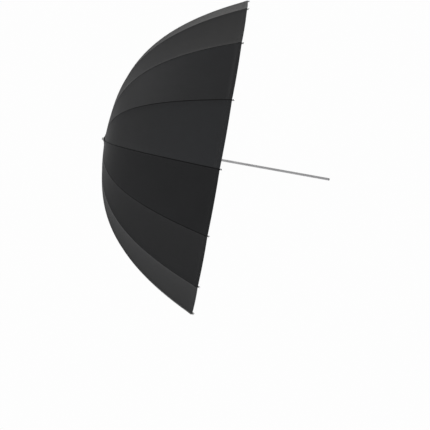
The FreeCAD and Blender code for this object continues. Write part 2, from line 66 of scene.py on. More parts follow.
# %% Read the canopy's size
RIB_COUNT = sum(name.startswith("rib_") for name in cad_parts)
HALF_GORE = math.pi / RIB_COUNT
CANOPY_DEPTH = 0.382
PROFILE_POWER = 3.23
PROFILE_CONE = 0.126
HOLE_RADIUS = 0.010
rim_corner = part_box("canopy_01")[1]
RIM_RADIUS = rim_corner.z
APEX_X = rim_corner.x - CANOPY_DEPTH
numbers = ["%02d" % (index + 1) for index in range(RIB_COUNT)]
print("ribs:", RIB_COUNT, "rim radius:", round(RIM_RADIUS, 4), "apex at x:", round(APEX_X, 4))

# %% Describe the curve over a rib
def canopy_x(r):
    """Where the cloth's outer side stands along the shaft, r from the shaft's axis."""
    share = r / RIM_RADIUS
    curl = (1 - PROFILE_CONE) * share**PROFILE_POWER
    return APEX_X + CANOPY_DEPTH * (curl + PROFILE_CONE * share)


def canopy_slope(r):
    """How far the cloth runs along the shaft for each metre outwards."""
    share = r / RIM_RADIUS
    curl = (1 - PROFILE_CONE) * PROFILE_POWER * share ** (PROFILE_POWER - 1)
    return CANOPY_DEPTH / RIM_RADIUS * (curl + PROFILE_CONE)


def seam_lengths(steps=600):
    """(length along the seam, r) from the hole to the rim."""
    rows = [(0.0, HOLE_RADIUS)]
    step = (RIM_RADIUS - HOLE_RADIUS) / steps
    for index in range(steps):
        r = HOLE_RADIUS + step * (index + 0.5)
        length = rows[-1][0] + step * math.hypot(1, canopy_slope(r))
        rows.append((length, HOLE_RADIUS + step * (index + 1)))
    return rows


SEAM_TABLE = seam_lengths()
SEAM_LENGTH = SEAM_TABLE[-1][0]


def radius_at(length):
    """The distance from the shaft's axis, this far along the seam."""
    for (before, low), (after, high) in zip(SEAM_TABLE, SEAM_TABLE[1:]):
        if length <= after:
            return low + (high - low) * (length - before) / (after - before)
    return RIM_RADIUS


print("seam length:", round(SEAM_LENGTH, 4))

# %% [markdown]
# ## Camera
# A long lens almost four metres away, a little above the shaft and looking slightly down past
# it, draws the bowl with little perspective. The umbrella is clamped with its free end low, so
# the camera is rolled instead, and the shaft can stay along the frame's X axis.

# %% Place the camera
CAMERA_AIM = Vector((-0.2636, 0.0, -0.1826))
CAMERA_DISTANCE = 3.913
CAMERA_TURN = math.radians(1.02)
CAMERA_DIP = math.radians(5.62)
CAMERA_ROLL = math.radians(10.24)
CAMERA_LENS = 99.1
SENSOR_WIDTH = 36.0


def add_camera():
    forward = Vector((
        math.sin(CAMERA_TURN) * math.cos(CAMERA_DIP),
        math.cos(CAMERA_TURN) * math.cos(CAMERA_DIP),
        -math.sin(CAMERA_DIP),
    ))
    right = forward.cross(Vector((0, 0, 1))).normalized()
    right = Matrix.Rotation(-CAMERA_ROLL, 3, forward) @ right
    up = right.cross(forward)
    axes = Matrix((right, up, -forward)).transposed()
    data = bpy.data.cameras.new("camera")
    data.lens = CAMERA_LENS
    data.sensor_width = SENSOR_WIDTH
    data.clip_end = 100.0
    camera = bpy.data.objects.new("camera", data)
    bpy.context.scene.collection.objects.link(camera)
    place = CAMERA_AIM - forward * CAMERA_DISTANCE
    camera.matrix_world = Matrix.Translation(place) @ axes.to_4x4()
    bpy.context.scene.camera = camera
    return camera


camera = add_camera()
print("camera at", [round(value, 3) for value in camera.matrix_world.translation])

# %% [markdown]
# ## Nodes
# A finish is a tree of nodes. It could be wired by hand in the shader editor, but a dozen finishes
# share the same steps, so short helpers do them. The first ones put a node in, feed its sockets
# and do sums on them.

# %% Put nodes in and do sums
def put(tree, kind, **settings):
    node = tree.nodes.new(kind)
    for key, value in settings.items():
        setattr(node, key, value)
    return node


def feed(tree, socket, value):
    """Links a socket, or sets a number or colour."""
    if isinstance(value, bpy.types.NodeSocket):
        tree.links.new(value, socket)
    else:
        socket.default_value = value


def object_place(tree):
    return put(tree, "ShaderNodeTexCoord").outputs["Object"]


def calc(tree, operation, *values, clamp=False):
    node = put(tree, "ShaderNodeMath", operation=operation, use_clamp=clamp)
    for socket, value in zip(node.inputs, values):
        feed(tree, socket, value)
    return node.outputs[0]


print("helpers:", [helper.__name__ for helper in (put, feed, object_place, calc)])

# %% [markdown]
# ## Masks and colours
# A mask is a number between 0 and 1 that says where an effect is. Smooth steps make masks with
# soft edges, and a mix node uses a mask to go from one colour to another.

# %% Make masks and blend colours
def between(tree, value, low, high):
    """0 below low, 1 above high and smooth in between."""
    node = put(tree, "ShaderNodeMapRange", interpolation_type="SMOOTHSTEP")
    feed(tree, node.inputs["Value"], value)
    feed(tree, node.inputs["From Min"], low)
    feed(tree, node.inputs["From Max"], high)
    return node.outputs["Result"]


def inside(tree, value, low, high):
    """1 below low, 0 above high and smooth in between."""
    return calc(tree, "SUBTRACT", 1.0, between(tree, value, low, high))


def grey(level, blue=0.0):
    """A grey colour, with a little more blue if asked."""
    return (level, level, level + blue, 1)


def distance_from_shaft(tree, place):
    """How far a point stands from the shaft's axis."""
    parts = put(tree, "ShaderNodeSeparateXYZ")
    feed(tree, parts.inputs[0], place)
    squares = [calc(tree, "POWER", parts.outputs[axis], 2.0) for axis in ("Y", "Z")]
    return calc(tree, "SQRT", calc(tree, "ADD", *squares)), parts.outputs


def blend_colours(tree, share, first, second):
    node = put(tree, "ShaderNodeMix", data_type="RGBA")
    feed(tree, node.inputs["Factor"], share)
    feed(tree, node.inputs[6], first)
    feed(tree, node.inputs[7], second)
    return node.outputs[2]


print("a grey with a little blue:", grey(0.5, 0.01))

# %% [markdown]
# ## Patterns
# Noise read from an object's own coordinates stays on the piece when the piece moves. A Mapping
# node stretches it into lines, and a Bump node turns a height into fine relief.

# %% Lay a pattern on a surface
def noise(tree, vector, scale, detail=2.0, roughness=0.5):
    node = put(tree, "ShaderNodeTexNoise")
    feed(tree, node.inputs["Vector"], vector)
    feed(tree, node.inputs["Scale"], scale)
    node.inputs["Detail"].default_value = detail
    node.inputs["Roughness"].default_value = roughness
    return node.outputs["Fac"]


def stretched(tree, vector, factors):
    node = put(tree, "ShaderNodeMapping")
    feed(tree, node.inputs["Vector"], vector)
    node.inputs["Scale"].default_value = factors
    return node.outputs["Vector"]


def raise_surface(tree, shader, height, distance):
    bump = put(tree, "ShaderNodeBump")
    bump.inputs["Strength"].default_value = 1.0
    bump.inputs["Distance"].default_value = distance
    feed(tree, bump.inputs["Height"], height)
    tree.links.new(bump.outputs["Normal"], shader.inputs["Normal"])


print("helpers:", [helper.__name__ for helper in (noise, stretched, raise_surface)])

# %% [markdown]
# ## Materials and groups
# A new material starts with a Principled shader and its output, and a node group starts with
# named sockets. A group is built once and placed in each finish with that finish's own values.

# %% Start a material or a node group
NUMBER = "NodeSocketFloat"
PLACE = "NodeSocketVector"


def new_material(name):
    """A material with only its Principled shader and output, and the shader's node."""
    material = bpy.data.materials.new(name)
    material.use_nodes = True
    tree = material.node_tree
    tree.nodes.clear()
    shader = put(tree, "ShaderNodeBsdfPrincipled")
    output = put(tree, "ShaderNodeOutputMaterial")
    tree.links.new(shader.outputs["BSDF"], output.inputs["Surface"])
    return material, tree, shader


def new_group(name, inputs, outputs):
    """A node group with these named sockets, each given as (name, kind)."""
    group = bpy.data.node_groups.new(name, "ShaderNodeTree")
    for label, kind in inputs:
        group.interface.new_socket(name=label, in_out="INPUT", socket_type=kind)
    for label, kind in outputs:
        group.interface.new_socket(name=label, in_out="OUTPUT", socket_type=kind)
    return group, put(group, "NodeGroupInput").outputs, put(group, "NodeGroupOutput").inputs


def use_group(tree, group, **values):
    node = put(tree, "ShaderNodeGroup", node_tree=group)
    for label, value in values.items():
        feed(tree, node.inputs[label], value)
    return node.outputs


print("helpers:", [helper.__name__ for helper in (new_material, new_group, use_group)])

# %% [markdown]
# ## Weave
# Three effects are used by more than one finish, so each is a node group. The first is a plain
# weave, over and under like a chequerboard. Two sine waves make the chequerboard, and long thin
# noise both ways makes threads that are not all alike.

# %% Build the weave
THREADS_PER_METRE = 900.0
THREAD_DRIFT = 14.0


def build_weave_group():
    inputs = [("Vector", PLACE), ("Thread", NUMBER)]
    outputs = [("Height", NUMBER), ("Shade", NUMBER)]
    group, given, result = new_group("plain_weave", inputs, outputs)
    parts = put(group, "ShaderNodeSeparateXYZ")
    feed(group, parts.inputs[0], given["Vector"])
    waves = []
    for axis in ("X", "Y"):
        turns = calc(group, "DIVIDE", parts.outputs[axis], given["Thread"])
        waves.append(calc(group, "SINE", calc(group, "MULTIPLY", turns, math.pi)))
    height = calc(group, "MULTIPLY_ADD", calc(group, "MULTIPLY", *waves), 0.5, 0.5)
    across = (THREADS_PER_METRE, THREAD_DRIFT, 1.0)
    along = (THREAD_DRIFT, THREADS_PER_METRE, 1.0)
    warp = noise(group, stretched(group, given["Vector"], across), scale=1.0, detail=1.0)
    weft = noise(group, stretched(group, given["Vector"], along), scale=1.0, detail=1.0)
    feed(group, result["Height"], height)
    feed(group, result["Shade"], calc(group, "MULTIPLY", calc(group, "ADD", warp, weft), 0.5))
    return group


weave_group = build_weave_group()
print("group:", weave_group.name)

# %% [markdown]
# ## A row of stitches
# A stitch is a short dash on a line. The group needs the distance from the line and the distance
# along it, so it serves the straight seams and the round edge of the patch alike.

# %% Build the row of stitches
STITCH_HALF = 0.00018
STITCH_EDGE = 0.0004
DASH_HALF = 0.33
DASH_EDGE = 0.42


def build_stitch_group():
    inputs = [("Off", NUMBER), ("Along", NUMBER), ("Length", NUMBER)]
    group, given, result = new_group("stitch_row", inputs, [("Mask", NUMBER)])
    off = calc(group, "ABSOLUTE", given["Off"])
    line = inside(group, off, STITCH_HALF, STITCH_EDGE)
    turn = calc(group, "FRACT", calc(group, "DIVIDE", given["Along"], given["Length"]))
    middle = calc(group, "ABSOLUTE", calc(group, "SUBTRACT", turn, 0.5))
    dash = inside(group, middle, DASH_HALF, DASH_EDGE)
    feed(group, result["Mask"], calc(group, "MULTIPLY", line, dash))
    return group


stitch_group = build_stitch_group()
print("group:", stitch_group.name)

# %% [markdown]
# ## Handling marks
# Any handled surface has faint smudges and rubbed spots. Broad noise makes the smudges, and a
# much finer one makes a texture for the relief.

# %% Build the handling marks
FINE_MARKS = 14.0
SMUDGE_LOW, SMUDGE_HIGH = 0.38, 0.68


def build_marks_group():
    inputs = [("Vector", PLACE), ("Scale", NUMBER)]
    outputs = [("Smudge", NUMBER), ("Fine", NUMBER)]
    group, given, result = new_group("handling_marks", inputs, outputs)
    broad = noise(group, given["Vector"], given["Scale"], detail=3.0, roughness=0.6)
    finer = calc(group, "MULTIPLY", given["Scale"], FINE_MARKS)
    fine = noise(group, given["Vector"], finer, detail=2.0, roughness=0.7)
    feed(group, result["Smudge"], between(group, broad, SMUDGE_LOW, SMUDGE_HIGH))
    feed(group, result["Fine"], fine)
    return group


marks_group = build_marks_group()
print("node groups:", [group.name for group in bpy.data.node_groups])

# %% [markdown]
# ## Weave and stitches of the cloth
# Two rows of stitches run beside each seam and one runs round the hem. They could be modelled
# thread by thread, but there are thousands, so they are drawn in the finish with a little relief.
# Weave and stitches follow the panel's own UV map, which is in metres: across the rib in U and
# along the seam in V. So they bend and narrow with the cloth.

# %% Place the weave and the stitches
SEAM_HALF = 0.0036
GROOVE_HALF = 0.0015
SEAM_STITCH = 0.0024
HEM_WIDTH = 0.014
HEM_STITCH = SEAM_LENGTH - HEM_WIDTH + 0.0025
STITCH_LENGTH = 0.0032
CLOTH_THREAD = 0.0006
CLOTH_BUMP = 0.0002
WEAVE_RAISE = 0.3
STITCH_RAISE = 1.5


def cloth_place(tree):
    """The cloth's UV vector, the distance from the seam and the distance along it."""
    place = put(tree, "ShaderNodeUVMap", uv_map="cloth").outputs["UV"]
    parts = put(tree, "ShaderNodeSeparateXYZ")
    feed(tree, parts.inputs[0], place)
    return place, calc(tree, "ABSOLUTE", parts.outputs["X"]), parts.outputs["X"], parts.outputs["Y"]


def stitched(tree, away, side, along):
    """Where the threads of the seam's two rows and of the hem's row lie."""
    off_seam = calc(tree, "SUBTRACT", away, SEAM_STITCH)
    seam = use_group(tree, stitch_group, Off=off_seam, Along=along, Length=STITCH_LENGTH)["Mask"]
    off_hem = calc(tree, "SUBTRACT", along, HEM_STITCH)
    hem = use_group(tree, stitch_group, Off=off_hem, Along=side, Length=STITCH_LENGTH)["Mask"]
    return calc(tree, "MAXIMUM", seam, hem)


def cloth_relief(tree, weave, thread):
    """The height of the weave with the stitches on it."""
    weave_height = calc(tree, "MULTIPLY", weave["Height"], WEAVE_RAISE)
    return calc(tree, "ADD", weave_height, calc(tree, "MULTIPLY", thread, STITCH_RAISE))


print("stitch:", STITCH_LENGTH, "m long, hem row", round(HEM_STITCH, 4), "m along the seam")

# %% [markdown]
# ## Black outside
# The outside is black nylon with a soft, slightly silky sheen: nearly black where it is seen
# square on, and grey where it is seen at a low angle. A sheen on a rough black base does this,
# where a glossy coat would look wet. The seam's groove has painted shade, a near-black colour,
# its stitches catch the light, and the cloth beside it is puckered a little by the thread's pull.

# %% Make the black cloth
PUCKER_RAISE = 4.0
PUCKER_WAVES = (12.0, 95.0, 1.0)
PUCKER_START = 0.003
PUCKER_REACH = 0.022
CLOTH_SHEEN = 0.25
SHEEN_ROUGHNESS = 0.25
BLACK = grey(0.0135, 0.0013)
BLACK_WORN = grey(0.018, 0.0012)
BLACK_THREAD = grey(0.026, 0.002)
# Painted shade: the near-black colour of the seam's groove, where its shadow falls.
GROOVE_PAINTED_SHADE = grey(0.002)
BLACK_STITCH = grey(0.03, 0.002)


def make_black_cloth():
    material, tree, shader = new_material("black_nylon")
    place, away, side, along = cloth_place(tree)
    in_row = object_place(tree)
    weave = use_group(tree, weave_group, Vector=place, Thread=CLOTH_THREAD)
    thread = stitched(tree, away, side, along)
    patchy = noise(tree, in_row, scale=9.0, detail=3.0, roughness=0.6)
    colour = blend_colours(tree, between(tree, patchy, 0.3, 0.7), BLACK, BLACK_WORN)
    colour = blend_colours(tree, calc(tree, "MULTIPLY", weave["Shade"], 0.35), colour, BLACK_THREAD)
    # The groove's mask paints shade into the colour, and it also makes the cloth rougher there.
    groove = inside(tree, away, GROOVE_HALF * 0.6, GROOVE_HALF * 1.3)
    colour = blend_colours(tree, calc(tree, "MULTIPLY", groove, 0.9), colour, GROOVE_PAINTED_SHADE)
    colour = blend_colours(tree, thread, colour, BLACK_STITCH)
    feed(tree, shader.inputs["Base Color"], colour)
    rough = calc(tree, "MULTIPLY_ADD", patchy, 0.1, 0.47)
    rough = calc(tree, "MULTIPLY_ADD", groove, 0.4, rough, clamp=True)
    feed(tree, shader.inputs["Roughness"], rough)
    shader.inputs["Sheen Weight"].default_value = CLOTH_SHEEN
    shader.inputs["Sheen Roughness"].default_value = SHEEN_ROUGHNESS
    near_seam = inside(tree, away, PUCKER_START, PUCKER_REACH)
    pucker = noise(tree, stretched(tree, place, PUCKER_WAVES), scale=1.0, detail=1.0)
    pucker = calc(tree, "MULTIPLY", calc(tree, "MULTIPLY", pucker, near_seam), PUCKER_RAISE)
    height = calc(tree, "ADD", pucker, cloth_relief(tree, weave, thread))
    raise_surface(tree, shader, height, CLOTH_BUMP)
    return material


black_cloth = make_black_cloth()
print("outside:", black_cloth.name)

# %% [markdown]
# ## White inside
# The inside has a white coating that throws the lamp's light back. It is painted on the same
# cloth, so the weave and the stitches show through it faintly, and each seam is a slightly grey
# band, because the cloth is folded there. It has no sheen, because the coating fills the threads.

# %% Make the white coating
WHITE = grey(0.87, -0.005)
WHITE_WORN = grey(0.92)
WHITE_THREAD = grey(0.7)
FOLD_GREY = grey(0.6)
WHITE_STITCH = grey(0.72)
FOLD_EDGE = (0.0034, 0.0044)


def make_white_coating():
    material, tree, shader = new_material("white_coating")
    place, away, side, along = cloth_place(tree)
    in_row = object_place(tree)
    weave = use_group(tree, weave_group, Vector=place, Thread=CLOTH_THREAD)
    thread = stitched(tree, away, side, along)
    patchy = noise(tree, in_row, scale=7.0, detail=3.0, roughness=0.6)
    colour = blend_colours(tree, between(tree, patchy, 0.3, 0.7), WHITE, WHITE_WORN)
    colour = blend_colours(tree, calc(tree, "MULTIPLY", weave["Shade"], 0.12), colour, WHITE_THREAD)
    fold = inside(tree, away, *FOLD_EDGE)
    colour = blend_colours(tree, calc(tree, "MULTIPLY", fold, 0.25), colour, FOLD_GREY)
    colour = blend_colours(tree, thread, colour, WHITE_STITCH)
    feed(tree, shader.inputs["Base Color"], colour)
    feed(tree, shader.inputs["Roughness"], calc(tree, "MULTIPLY_ADD", patchy, 0.12, 0.42))
    raise_surface(tree, shader, cloth_relief(tree, weave, thread), CLOTH_BUMP)
    return material


white_coating = make_white_coating()
print("inside:", white_coating.name)

# %% [markdown]
# ## Canopy
# The real canopy is sixteen gores of cloth sewn edge to edge, and each seam lies over a rib. When
# the umbrella folds, the cloth goes with the ribs, so it is made here as sixteen panels that run
# from mid-gore to mid-gore, each with its seam down the middle. At rest their edges meet exactly,
# with the same slope, and the bowl is one smooth sheet. A panel starts as a flat grid, and each of
# its points is put in place by the curve over the rib: straight across to the next rib, pulled in
# a little between the ribs, with a raised seam that has a groove down its middle, and a doubled
# hem at the rim. Solidify then gives it a thickness.

# %% Lay out the panel's rows and columns
SEAM_FOOT = 0.0046
SEAM_RISE = 0.0001
GROOVE_DEPTH = 0.0010
SEAM_STEPS = [(0.0, -GROOVE_DEPTH), (GROOVE_HALF, SEAM_RISE), (SEAM_HALF, SEAM_RISE), (SEAM_FOOT, 0.0)]
SIDE_STEPS = 9
SEAM_FIT_WIDTH = 0.009
CLOTH_SAG = 0.0035
HEM_RISE = 0.0005
HEM_STEP = 0.0008
LAST_ROW = 0.001
CLOTH_THICKNESS = 0.0006
LENGTH_STEPS = 60


def panel_rows():
    """Lengths along the seam at which the panel has a row of points."""
    plain = SEAM_LENGTH - HEM_WIDTH
    rows = [plain * index / LENGTH_STEPS for index in range(LENGTH_STEPS + 1)]
    return rows + [plain + HEM_STEP, plain + HEM_WIDTH / 2, SEAM_LENGTH - LAST_ROW, SEAM_LENGTH]


def step_across(index, half_width):
    """(distance from the seam, height of the seam's fold) of a column of points."""
    fit = min(1.0, half_width / SEAM_FIT_WIDTH)
    if index < len(SEAM_STEPS):
        return SEAM_STEPS[index][0] * fit, SEAM_STEPS[index][1] * fit
    start = SEAM_STEPS[-1][0] * fit
    share = (index - len(SEAM_STEPS) + 1) / SIDE_STEPS
    return start + (half_width - start) * share, 0.0


print("rows of points:", len(panel_rows()), "columns:", 2 * (len(SEAM_STEPS) + SIDE_STEPS) - 1)

# %% [markdown]
# ## From a flat grid to the bowl
# Each point of the grid is moved to its place on the first rib's panel. Its row tells how far it
# is along the seam and its column how far across. The flat place is kept as the UV map, so the
# weave and the stitches know where they are on the cloth.

# %% Bend the sheet over the rib
def cloth_point(r, column, rise):
    """A point of the first rib's panel, and its distance from the seam."""
    side = (column > 0) - (column < 0)
    half_width = r * math.sin(HALF_GORE)
    away, fold = step_across(abs(column), half_width)
    slope = canopy_slope(r) / math.cos(HALF_GORE)
    across, down = math.cos(HALF_GORE), math.sin(HALF_GORE)
    outward = Vector((-1, slope * down * side, slope * across)).normalized()
    sag = CLOTH_SAG * (r / RIM_RADIUS) * (1 - (1 - away / half_width) ** 2)
    point = Vector((canopy_x(r), side * away * across, r - away * down))
    return point + outward * (fold + rise - sag), side * away


def panel_mesh():
    """The first rib's panel as a sheet with no thickness, with its UV map in metres."""
    rows = panel_rows()
    last = len(SEAM_STEPS) - 1 + SIDE_STEPS
    bm = bmesh.new()
    bmesh.ops.create_grid(bm, x_segments=2 * last, y_segments=len(rows) - 1, size=1.0)
    flat = {}
    for vert in bm.verts:
        column = round(vert.co.x * last)
        length = rows[round((vert.co.y + 1) / 2 * (len(rows) - 1))]
        rise = HEM_RISE if length > SEAM_LENGTH - HEM_WIDTH + HEM_STEP / 2 else 0.0
        vert.co, across = cloth_point(radius_at(length), column, rise)
        flat[vert] = (across, length)
    bmesh.ops.reverse_faces(bm, faces=bm.faces)
    layer = bm.loops.layers.uv.new("cloth")
    for face in bm.faces:
        for loop in face.loops:
            loop[layer].uv = flat[loop.vert]
    mesh = bpy.data.meshes.new("panel")
    bm.to_mesh(mesh)
    bm.free()
    return mesh


flat_panel = panel_mesh()
print("panel sheet:", len(flat_panel.vertices), "points,", len(flat_panel.polygons), "faces")

# %% [markdown]
# ## Thickness and hem
# A Solidify modifier gives the sheet its thickness on the inner side, so the outer side stays on
# the formula, and it puts the white coating there. The mesh is taken with the modifier applied,
# so that one finished panel can be turned to every rib.

# %% Give the panel its thickness
def finished(mesh, name, modifiers):
    """A mesh with these modifiers applied, each given as (kind, settings)."""
    carrier = bpy.data.objects.new(name, mesh)
    bpy.context.scene.collection.objects.link(carrier)
    for kind, settings in modifiers:
        modifier = carrier.modifiers.new(kind.lower(), kind)
        for key, value in settings.items():
            setattr(modifier, key, value)
    graph = bpy.context.evaluated_depsgraph_get()
    made = bpy.data.meshes.new_from_object(carrier.evaluated_get(graph), depsgraph=graph)
    bpy.data.objects.remove(carrier)
    return made


def line_hem_with_cloth(mesh):
    """The hem is turned in, so its inner side shows the black outside of the cloth."""
    layer = mesh.uv_layers["cloth"]
    for face in mesh.polygons:
        middle = sum(layer.uv[loop].vector.y for loop in face.loop_indices) / face.loop_total
        if middle > SEAM_LENGTH - HEM_WIDTH:
            face.material_index = 0


def smooth(mesh, degrees=35):
    for face in mesh.polygons:
        face.use_smooth = True
    mesh.set_sharp_from_angle(angle=math.radians(degrees))


flat_panel.materials.append(black_cloth)
flat_panel.materials.append(white_coating)
THICKEN = {
    "thickness": CLOTH_THICKNESS,
    "offset": -1.0,
    "use_even_offset": True,
    "material_offset": 1,
}
panel_solid = finished(flat_panel, "panel", [("SOLIDIFY", THICKEN)])
line_hem_with_cloth(panel_solid)
smooth(panel_solid)
print("panel:", len(panel_solid.polygons), "faces")

# %% [markdown]
# ## Sixteen panels
# Each panel is the first one turned about the shaft, and it rides on its rib. The cut of a
# panel is two long narrow halves, so its flat area is less than its width times its length.


def add_piece(name, mesh):
    piece = bpy.data.objects.new(name, mesh)
    bpy.context.scene.collection.objects.link(piece)
    return piece


def turned(mesh, index, name):
    """A copy of a piece of the first rib, turned to the rib with this index."""
    copy = mesh.copy()
    copy.name = name
    copy.transform(Matrix.Rotation(2 * HALF_GORE * index, 4, "X"))
    return add_piece(name, copy)


for index, number in enumerate(numbers):
    rib = "rib_" + number
    panel = turned(panel_solid, index, "cloth_panel_" + number)
    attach(panel, rib)
    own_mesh(panel)
    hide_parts("canopy_" + number)

# %% [markdown]
# ## Top patch
# A small round patch of the same cloth covers the place where sixteen seams meet. It lies on the
# cloth under the washer, a little cupped, with a turned edge and one row of stitches.

# %% Draw the patch's section
PATCH_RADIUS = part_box("top_rosette")[1].z
PATCH_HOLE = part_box("shaft_tube")[1].z + 0.00003
PATCH_BENDS = (0.007, 0.010)
PATCH_THICKNESS = 0.0007
PATCH_GAP = 0.0003
PATCH_EDGE = 0.0022
PATCH_ROUND = 0.0005
EDGE_PLUMP = 0.00035
RIM_PLUMP = 0.0003
PATCH_STITCH = PATCH_RADIUS - PATCH_EDGE * 1.4
PATCH_STITCH_LENGTH = 0.0022
MERGE_DISTANCE = 1e-7


def patch_section():
    """(x, r) points round the patch's section, from its hole and back."""
    fold = PATCH_RADIUS - PATCH_EDGE
    top = [(canopy_x(r) - PATCH_THICKNESS, r) for r in (PATCH_HOLE, *PATCH_BENDS, fold)]
    rim = canopy_x(PATCH_RADIUS)
    top.append((rim - PATCH_THICKNESS - EDGE_PLUMP, PATCH_RADIUS - PATCH_EDGE * 0.8))
    top.append((rim - PATCH_THICKNESS - RIM_PLUMP, PATCH_RADIUS - PATCH_ROUND))
    top.append((rim - PATCH_THICKNESS / 2, PATCH_RADIUS))
    under = [(canopy_x(r), r) for r in (PATCH_RADIUS - PATCH_ROUND, PATCH_BENDS[1], PATCH_HOLE)]
    return [(x - PATCH_GAP, r) for x, r in top + under]


print("points round the patch's section:", len(patch_section()))

# %% [markdown]
# ## Spin the section
# The patch is round, so its section is drawn once and spun about the shaft. A full spin ends
# where it starts, so the doubled points are merged, and then the faces are turned outwards.

# %% Spin the top patch
def closed_mesh(bm, name, degrees=35):
    """The bmesh as a smooth mesh, with its doubles merged and its faces turned outwards."""
    bmesh.ops.remove_doubles(bm, verts=bm.verts, dist=MERGE_DISTANCE)
    bmesh.ops.recalc_face_normals(bm, faces=bm.faces)
    mesh = bpy.data.meshes.new(name)
    bm.to_mesh(mesh)
    bm.free()
    smooth(mesh, degrees)
    return mesh


def spun(section, name, steps=96):
    """A ring of this (x, r) section about the shaft."""
    bm = bmesh.new()
    verts = [bm.verts.new((x, 0, r)) for x, r in section]
    edges = [bm.edges.new(pair) for pair in zip(verts, verts[1:] + verts[:1])]
    bmesh.ops.spin(
        bm, geom=verts + edges, cent=(0, 0, 0), axis=(1, 0, 0), angle=2 * math.pi,
        steps=steps, use_merge=True
    )
    return closed_mesh(bm, name)


patch_mesh = spun(patch_section(), "top_patch")
print("patch radius:", round(PATCH_RADIUS, 4), "faces:", len(patch_mesh.polygons))

# %% [markdown]
# ## Finish of the patch
# It is the same black nylon with a closer row of stitches round its edge. The patch is round, so
# the row is placed by its distance from the shaft and by the angle round it.

# %% Make the patch's finish and put it on
PATCH_SHEEN = 0.16
PATCH_BLACK = grey(0.012, 0.001)
PATCH_WORN = grey(0.024, 0.002)
PATCH_THREAD = grey(0.04, 0.002)


def make_patch_cloth():
    material, tree, shader = new_material("patch_nylon")
    place = object_place(tree)
    radius, parts = distance_from_shaft(tree, place)
    level = put(tree, "ShaderNodeCombineXYZ")
    feed(tree, level.inputs["X"], parts["Y"])
    feed(tree, level.inputs["Y"], parts["Z"])
    weave = use_group(tree, weave_group, Vector=level.outputs[0], Thread=CLOTH_THREAD)
    turn = calc(tree, "ARCTAN2", parts["Y"], parts["Z"])
    off = calc(tree, "SUBTRACT", radius, PATCH_STITCH)
    round_edge = calc(tree, "MULTIPLY", turn, PATCH_RADIUS)
    row = use_group(tree, stitch_group, Off=off, Along=round_edge, Length=PATCH_STITCH_LENGTH)
    thread = row["Mask"]
    colour = blend_colours(tree, weave["Shade"], PATCH_BLACK, PATCH_WORN)
    colour = blend_colours(tree, thread, colour, PATCH_THREAD)
    feed(tree, shader.inputs["Base Color"], colour)
    feed(tree, shader.inputs["Roughness"], calc(tree, "MULTIPLY_ADD", weave["Shade"], 0.1, 0.5))
    shader.inputs["Sheen Weight"].default_value = PATCH_SHEEN
    raise_surface(tree, shader, cloth_relief(tree, weave, thread), CLOTH_BUMP)
    return material


patch = add_piece("top_patch", patch_mesh)
patch.data.materials.append(make_patch_cloth())
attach(patch, "shaft")
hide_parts("top_rosette")

# %% [markdown]
# ## Rib ties
# Under the cloth, thread ties each rod to its seam at three places. A tie is a few close turns of
# black thread round the rod, drawn up to the cloth.

# %% Find the places of the ties
ROD_RADIUS = 0.0015
ROD_DEPTH = 0.0037
TIE_RADII = (0.120, 0.345, 0.450)
TIE_TURNS = 4
TIE_THREAD = 0.00042
TIE_REACH = 0.0006
TURN_PITCH = TIE_THREAD * 1.05
THREAD_SIDES = 6
TURN_STEPS = 20


def under_cloth(r, depth):
    """The point at this depth under a seam's outer side, the seam's direction and the way out."""
    slope = canopy_slope(r)
    size = math.hypot(1, slope)
    out = Vector((-1 / size, 0, slope / size))
    return Vector((canopy_x(r), 0, r)) - out * depth, Vector((slope / size, 0, 1 / size)), out


print("a tie's place:", [round(value, 4) for value in under_cloth(TIE_RADII[0], ROD_DEPTH)[0]])

# %% [markdown]
# ## One turn of thread
# A turn is a small circle spun round the rod, then drawn out on the side of the cloth. It is made
# at the origin and carried to its place by one matrix.

# %% Wind the thread round the rod
def add_turn(bm, centre, along, out):
    """One turn of thread round the rod, longer towards the cloth."""
    side = along.cross(out)
    axes = Matrix((out, side, along)).transposed().to_4x4()
    place = Matrix.Translation(centre) @ axes
    circle = bmesh.ops.create_circle(
        bm, cap_ends=False, radius=TIE_THREAD / 2, segments=THREAD_SIDES
    )
    ring = circle["verts"]
    bmesh.ops.rotate(bm, verts=ring, cent=(0, 0, 0), matrix=Matrix.Rotation(math.pi / 2, 3, "X"))
    bmesh.ops.translate(bm, verts=ring, vec=(ROD_RADIUS + TIE_THREAD / 2, 0, 0))
    edges = list({edge for vert in ring for edge in vert.link_edges})
    bmesh.ops.spin(
        bm, geom=ring + edges, cent=(0, 0, 0), axis=(0, 0, 1), angle=2 * math.pi,
        steps=TURN_STEPS, use_merge=True
    )
    verts = list({vert for face in bm.faces if not face.tag for vert in face.verts})
    for vert in verts:
        if vert.co.x > 0:
            vert.co.x *= 1 + TIE_REACH / ROD_RADIUS
        vert.co = place @ vert.co
    for face in bm.faces:
        face.tag = True


def tie_mesh():
    bm = bmesh.new()
    for r in TIE_RADII:
        centre, along, out = under_cloth(r, ROD_DEPTH)
        for turn in range(TIE_TURNS):
            offset = (turn - (TIE_TURNS - 1) / 2) * TURN_PITCH
            add_turn(bm, centre + along * offset, along, out)
    return closed_mesh(bm, "tie", 60)


tie_source = tie_mesh()
print("faces in one rib's ties:", len(tie_source.polygons))

# %% [markdown]
# ## Thread
# The thread is dull black, and a fine noise stands for its twisted strands. The ties of the
# first rib are then copied to the others, and each set rides on its own rib.

# %% Tie the rods to the seams
PLY_FINENESS = 2600.0
PLY_BUMP = 0.0001
PLY_DARK = grey(0.008)
PLY_LIGHT = grey(0.04)


def make_thread():
    material, tree, shader = new_material("black_thread")
    ply = noise(tree, object_place(tree), scale=PLY_FINENESS, detail=1.0)
    feed(tree, shader.inputs["Base Color"], blend_colours(tree, ply, PLY_DARK, PLY_LIGHT))
    shader.inputs["Roughness"].default_value = 0.7
    raise_surface(tree, shader, ply, PLY_BUMP)
    return material


